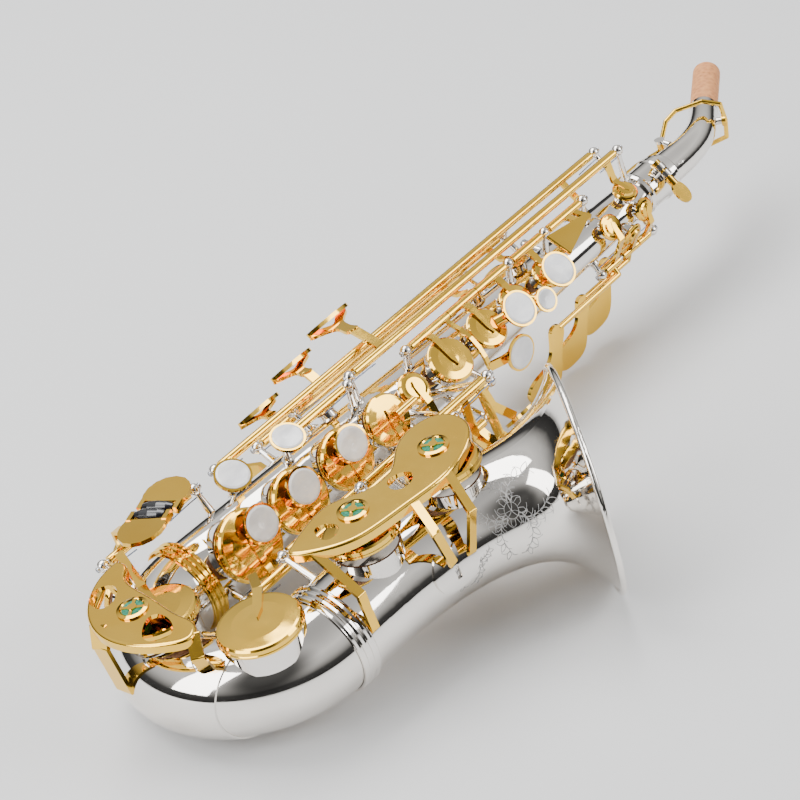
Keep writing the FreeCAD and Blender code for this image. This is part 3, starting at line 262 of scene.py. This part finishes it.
def e_flat_hole():
    a = math.radians(18)
    out = Vector((-0.28, 0.93, 0.28)).normalized()
    tube_r = BOW_TUBE[0] + (BOW_TUBE[1] - BOW_TUBE[0]) * 0.1
    centre = Vector((-BOW_R * math.sin(a), -BOW_R + BOW_R * math.cos(a), 0))
    return centre + out * (tube_r + 2.4), out, 11.0


LOWER, UPPER = (-25.6, -4.5), (-3.8, 21.7)
PADS = {   # body: (hole, hinge line, turn at rest in degrees)
    "low_b_flat_key": (up_hole(74, -84.0, 23.0, 15.5), (-50.0, 21.0), -5.0),
    "low_b_key": (up_hole(31, -79.5, 21.1, 15.5), (-44.0, 16.0), -5.0),
    "low_c_sharp_key": (up_hole(-21.5, -74.0, 19.6, 16.8), None, 0),
    "low_c_key": (up_hole(-35.0, -33.0, 18.4, 16.0), (14.0, 24.0), -3.4),
    "e_flat_key": (e_flat_hole(), None, 0),
    "d_key": (body_hole(20, 32, 15.0, 2.8), LOWER, 8.5),
    "e_key": (body_hole(50, 32, 13.8, 2.8), LOWER, 8.5),
    "f_key": (body_hole(79, 32, 13.2, 2.8), LOWER, 8.5),
    "f_sharp_key": (body_hole(106, 34, 11.2, 2.8), LOWER, 8.5),
    "g_sharp_key": (body_hole(128, 40, 7.4), None, 0),
    "g_key": (body_hole(150, 36, 10.5), UPPER, -8.0),
    "a_key": (body_hole(175, 36, 9.5), UPPER, -8.0),
    "bis_key": (body_hole(197, 38, 8.3, 2.0), UPPER, -8.0),
    "b_key": (body_hole(220, 40, 7.4, 2.0), UPPER, -8.0),
    "side_b_flat_key": (body_hole(190, 114, 6.4, 2.0), None, 0),
    "side_c_key": (body_hole(218, 104, 6.2, 2.0), None, 0),
    "high_e_key": (body_hole(287, 62, 6.0, 2.0), None, 0),
    "high_f_sharp_key": (body_hole(270, 142, 5.8, 2.0), None, 0),
    "alternate_f_sharp_key": (body_hole(98, 124, 5.6, 2.0), None, 0),
    "palm_d_key": (body_hole(266, 26, 6.2, 2.0), None, 0),
    "palm_e_flat_key": (body_hole(279, -28, 6.0, 2.0), None, 0),
    "palm_f_key": (body_hole(289.5, 6, 5.6, 1.8), None, 0),
}


def at_rest(point, direction, line, deg):
    """Turns a point and a direction about a hinge line that is parallel to X."""
    if line is None:
        return point, direction
    q = Quaternion((1, 0, 0), math.radians(deg))
    pivot = Vector((0, line[0], line[1]))
    return q @ (point - pivot) + pivot, q @ direction


for body, ((rim, out, r), line, deg) in PADS.items():
    rim, out = at_rest(rim, out, line, deg)
    name = body.replace("_key", "")
    bm = bmesh.new()
    edge = r - CUP_INSET
    lathe_into(bm, [(0.2, 0.16), (edge - 0.5, 0.16), (edge - 0.1, 0.5), (edge, 0.9), (edge, 2.3),
                    (0.2, 2.3)], rim, out)
    pad = close(bm, name + "_pad", LEATHER, body)
    if r > LARGE_CUP:
        bm = bmesh.new()
        lathe_into(bm, [(0.1, -0.5), (r * 0.18, -0.4), (r * 0.36, 0.0), (r * 0.38, 0.13),
                        (0.1, 0.13)], rim, out, 28)
        close(bm, name + "_resonator", STEEL, body)


# ---- bumpers: felt and a cross-slotted holder ---------------------------------------------------
BUMPERS = ((31.0, -78.5, 37.6), (74.0, -81.5, 37.6), (-43.0, -31.0, 32.4))   # on the guard plates
GUARD_T = 1.8                # thickness of a guard plate
felt_bm, cross_bm = bmesh.new(), bmesh.new()
for x, y, z in BUMPERS:
    top = z + GUARD_T
    lathe_into(felt_bm, [(1.9, top + 0.52), (4.3, top + 0.52), (4.25, top + 0.72),
                         (1.95, top + 0.72)], (x, y, 0), UP, 32)
    for k in range(4):
        a = math.radians(35 + 90 * k)
        arm = Vector((math.cos(a), math.sin(a), 0))
        centre = Vector((x, y, top + 0.78)) + arm * 3.1
        block_into(cross_bm, centre, arm, UP.cross(arm), UP, (2.9, 1.3, 0.5))
close(felt_bm, "bumper_felt_rings", FELT, "instrument")
close(cross_bm, "bumper_crosses", GOLD, "instrument", smooth=False)

# ---- rods: screw heads with slots, and needle springs -------------------------------------------
RODS = [   # (y, z) of the rod and the heights of its end posts
    ((-25.6, -4.5), 7.2, 119.6), ((-3.8, 21.7), 137.8, 261.0), ((0.9, 27.0), 108.8, 295.6),
    ((-1.0, 25.6), 65.0, 105.2), ((15.7, 23.4), 40.8, 295.6), ((19.3, 18.4), 88.8, 229.2),
    ((23.4, 12.6), 68.8, 203.2), ((-8.5, -14.7), 256.4, 295.8), ((14.0, 24.0), -23.4, 27.4),
    ((-50.0, 21.0), 58.6, 136.8), ((-44.0, 16.0), 17.6, 136.8), ((-41.0, 8.5), -3.4, 121.4),
    ((-31.0, -13.0), 109.6, 147.6),
]
BALL_END = 2.76              # from the middle of a post's ball to the screw's seat
head_bm, slot_bm, needles = bmesh.new(), bmesh.new(), []
for (y, z), x0, x1 in RODS:
    for x, s in ((x0, -1), (x1, 1)):
        tip = Vector((x + s * BALL_END, y, z))
        lathe_into(head_bm, [(0.1, -0.05), (1.25, -0.05), (1.25, 0.2), (1.05, 0.4),
                             (0.1, 0.4)], tip, (s, 0, 0), 20)
        block_into(slot_bm, tip + Vector((s * 0.36, 0, 0)), (1, 0, 0), (0, 0.8, 0.6),
                   (0, -0.6, 0.8), (0.14, 2.0, 0.36))
        # A needle spring leaves the post beside the rod and runs along it to a catch on the key.
        inward = Vector((0, y, z)).normalized() if x > 0 and y > -40 else Vector((0, 0.5, 0.87))
        foot = Vector((x, y, z)) - inward * 3.3
        reach = random.uniform(13.0, 17.0)
        needles.append([foot + Vector((-s * t * reach, 0, 0)) + inward * (0.25 - t * t * 0.5)
                        for t in (-0.12, 0.3, 0.7, 1.0)])
close(head_bm, "rod_screw_heads", STEEL, "instrument")
close(slot_bm, "rod_screw_slots", DARK, "instrument", smooth=False)
wires("needle_springs", needles, 0.28, SPRING, "instrument")

# ---- bell engraving -----------------------------------------------------------------------------
RIM = Vector((117.5, -110.4, 0))
RIM_R = 46.0
TILT = math.radians(38)              # between the rim's axis and the body
BELL_START = Vector((0, -2 * BOW_R, 0))
BELL_AXIS = Vector((math.cos(TILT), -math.sin(TILT), 0))
THROAT_GAIN = 6.0                    # growth of the radius before the flare begins
FLARE_FROM = 0.55                    # where the flare begins, along the bell


def bell_point(u, deg, lift=0.0):
    """Point on the bell's skin, at a fraction of its length and an angle from the upper side."""
    p1, p2, w = BELL_START + Vector((66, 0, 0)), RIM - BELL_AXIS * 44, 1 - u
    centre = BELL_START * w**3 + p1 * (3 * w * w * u) + p2 * (3 * w * u * u) + RIM * u**3
    run = (p1 - BELL_START) * (3 * w * w) + (p2 - p1) * (6 * w * u) + (RIM - p2) * (3 * u * u)
    run.normalize()
    flare = max(0.0, (u - FLARE_FROM) / (1 - FLARE_FROM)) ** 4.6
    r = BOW_TUBE[1] + THROAT_GAIN * u**1.6 + (RIM_R - BOW_TUBE[1] - THROAT_GAIN) * flare
    a = math.radians(deg)
    return centre + (UP * math.cos(a) + run.cross(UP) * math.sin(a)) * (r + lift)


STEM_STEPS = 12


def leaf_line(u, deg, heading, length, bow):
    """Curved stem on the bell, as (u, angle) steps."""
    steps = []
    for i in range(STEM_STEPS + 1):
        t = i / STEM_STEPS
        a = math.radians(heading + bow * t)
        steps.append((u + 0.0088 * length * t * math.cos(a), deg + 2.1 * length * t * math.sin(a)))
    return steps


def on_bell(steps):
    """Steps as points that stand just proud of the skin."""
    return [bell_point(u, deg, 0.05) for u, deg in steps]


def flower(u, deg, size, a):
    """A point round a flower's heart, as (u, angle)."""
    return u + 0.0041 * size * math.cos(a), deg + size * math.sin(a)


MOTIFS = ((0.68, 57.0, 1.25), (0.40, 80.0, 0.8))     # place along the bell, angle, scale
STEMS = (   # heading, bow and length
    (10, 80, 17), (70, -70, 15), (130, 75, 14), (190, -80, 17), (250, 70, 15), (310, -75, 14),
)
LEAF_STEPS = (3, 5, 7, 9, 11)
LEAF_TURN = 55
LEAF_LEN = 4.2
HEART_R = 6.4
PETAL = ((HEART_R, 0.0), (11.0, 0.1), (13.0, 0.3), (11.0, 0.5), (HEART_R, 0.6))   # size, turn
PETALS = 8

engraved = []
for u0, deg0, scale in MOTIFS:
    for heading, bow, length in STEMS:
        stem = leaf_line(u0, deg0, heading, length * scale, bow)
        engraved.append(on_bell(stem))
        for k in LEAF_STEPS:
            for side in (-LEAF_TURN, LEAF_TURN):
                turned = heading + bow * k / STEM_STEPS + side
                leaf = LEAF_LEN * scale
                engraved.append(on_bell(leaf_line(*stem[k], turned, leaf, -side)))
                engraved.append(on_bell(leaf_line(*stem[k], turned - side * 0.7, leaf, side)))
    heart = [flower(u0, deg0, HEART_R * scale, math.pi * i / 12) for i in range(25)]
    engraved.append(on_bell(heart))
    for k in range(PETALS):
        engraved.append(on_bell([flower(u0, deg0, size * scale, 2 * math.pi * k / PETALS + turn)
                                 for size, turn in PETAL]))
wires("bell_engraving", engraved, 0.1, ENGRAVED, "instrument")

# ---- the neck's end ring ------------------------------------------------------------------------
BEND = math.radians(33)
BEND_R = 60.0
BEND_X = 335.0                       # where the neck begins to bend
neck_run = Vector((math.cos(BEND), math.sin(BEND), 0))
bend_end = Vector((BEND_X + BEND_R * math.sin(BEND), BEND_R * (1 - math.cos(BEND)), 0))
cork_start = bend_end + neck_run * 10
bm = bmesh.new()
lathe_into(bm, [(6.3, -2.2), (6.9, -2.0), (7.2, -1.2), (6.9, -0.4), (6.3, -0.2)], cork_start, neck_run)
close(bm, "neck_end_ring", SILVER, "neck")

# ---- floor, light and camera --------------------------------------------------------------------
FLOOR_HALF = 6.0
mesh = bpy.data.meshes.new("floor")
mesh.from_pydata([(x * FLOOR_HALF, y * FLOOR_HALF, 0) for x, y in ((-1, -1), (1, -1), (1, 1), (-1, 1))],
                 [], [(0, 1, 2, 3)])
mesh.materials.append(FLOOR)
floor = bpy.data.objects.new("floor", mesh)
bpy.context.scene.collection.objects.link(floor)


def softbox(name, place, aim, size, power):
    """A rectangular lamp that looks at a point."""
    data = bpy.data.lights.new(name, "AREA")
    data.shape = "RECTANGLE"
    data.size, data.size_y = size
    data.energy = power
    lamp = bpy.data.objects.new(name, data)
    lamp.location = place
    lamp.rotation_euler = (Vector(aim) - Vector(place)).to_track_quat("-Z", "Y").to_euler()
    bpy.context.scene.collection.objects.link(lamp)


softbox("overhead", (-0.1, 0.7, 1.5), (0, 0, 0), (1.7, 0.9), 36)
softbox("left", (-1.5, 0.3, 0.9), (0, 0, 0.05), (0.8, 1.2), 20)
softbox("right", (0.9, -1.3, 1.0), (0, 0, 0.05), (0.8, 1.1), 18)

# The room: dark near the floor and behind the camera, pale above, for contrast in the metal.
world = bpy.data.worlds.new("studio")
bpy.context.scene.world = world
world.use_nodes = True
tree = world.node_tree
coord = tree.nodes.new("ShaderNodeTexCoord")
split = tree.nodes.new("ShaderNodeSeparateXYZ")
tree.links.new(coord.outputs["Generated"], split.inputs["Vector"])
back = tree.nodes["Background"]
ramp(tree, split.outputs["Z"], [(0.0, (0.03, 0.03, 0.03)), (0.17, (0.06, 0.06, 0.06)),
                                (0.4, (0.62, 0.62, 0.61)), (0.62, (0.95, 0.95, 0.94)),
                                (1.0, (0.5, 0.5, 0.5))],
     back.inputs["Color"])
VIEWER = (-0.62, -0.53, 0.575)
facing = tree.nodes.new("ShaderNodeVectorMath")
facing.operation = "DOT_PRODUCT"
facing.inputs[1].default_value = VIEWER
tree.links.new(coord.outputs["Generated"], facing.inputs[0])
shade = tree.nodes.new("ShaderNodeMapRange")
shade.interpolation_type = "SMOOTHSTEP"
for socket, value in (("From Min", 0.78), ("From Max", 0.97), ("To Min", 1.0), ("To Max", 0.10)):
    shade.inputs[socket].default_value = value
tree.links.new(facing.outputs["Value"], shade.inputs["Value"])
tree.links.new(shade.outputs["Result"], back.inputs["Strength"])

lens = bpy.data.cameras.new("camera")
lens.lens = 98.653
lens.sensor_width = 36
lens.clip_start = 0.05
camera = bpy.data.objects.new("camera", lens)
camera.location = (-0.59142, -0.50514, 0.54511)
camera.rotation_euler = (0.98859, 0.10220, -0.84506)
bpy.context.scene.collection.objects.link(camera)
bpy.context.scene.camera = camera
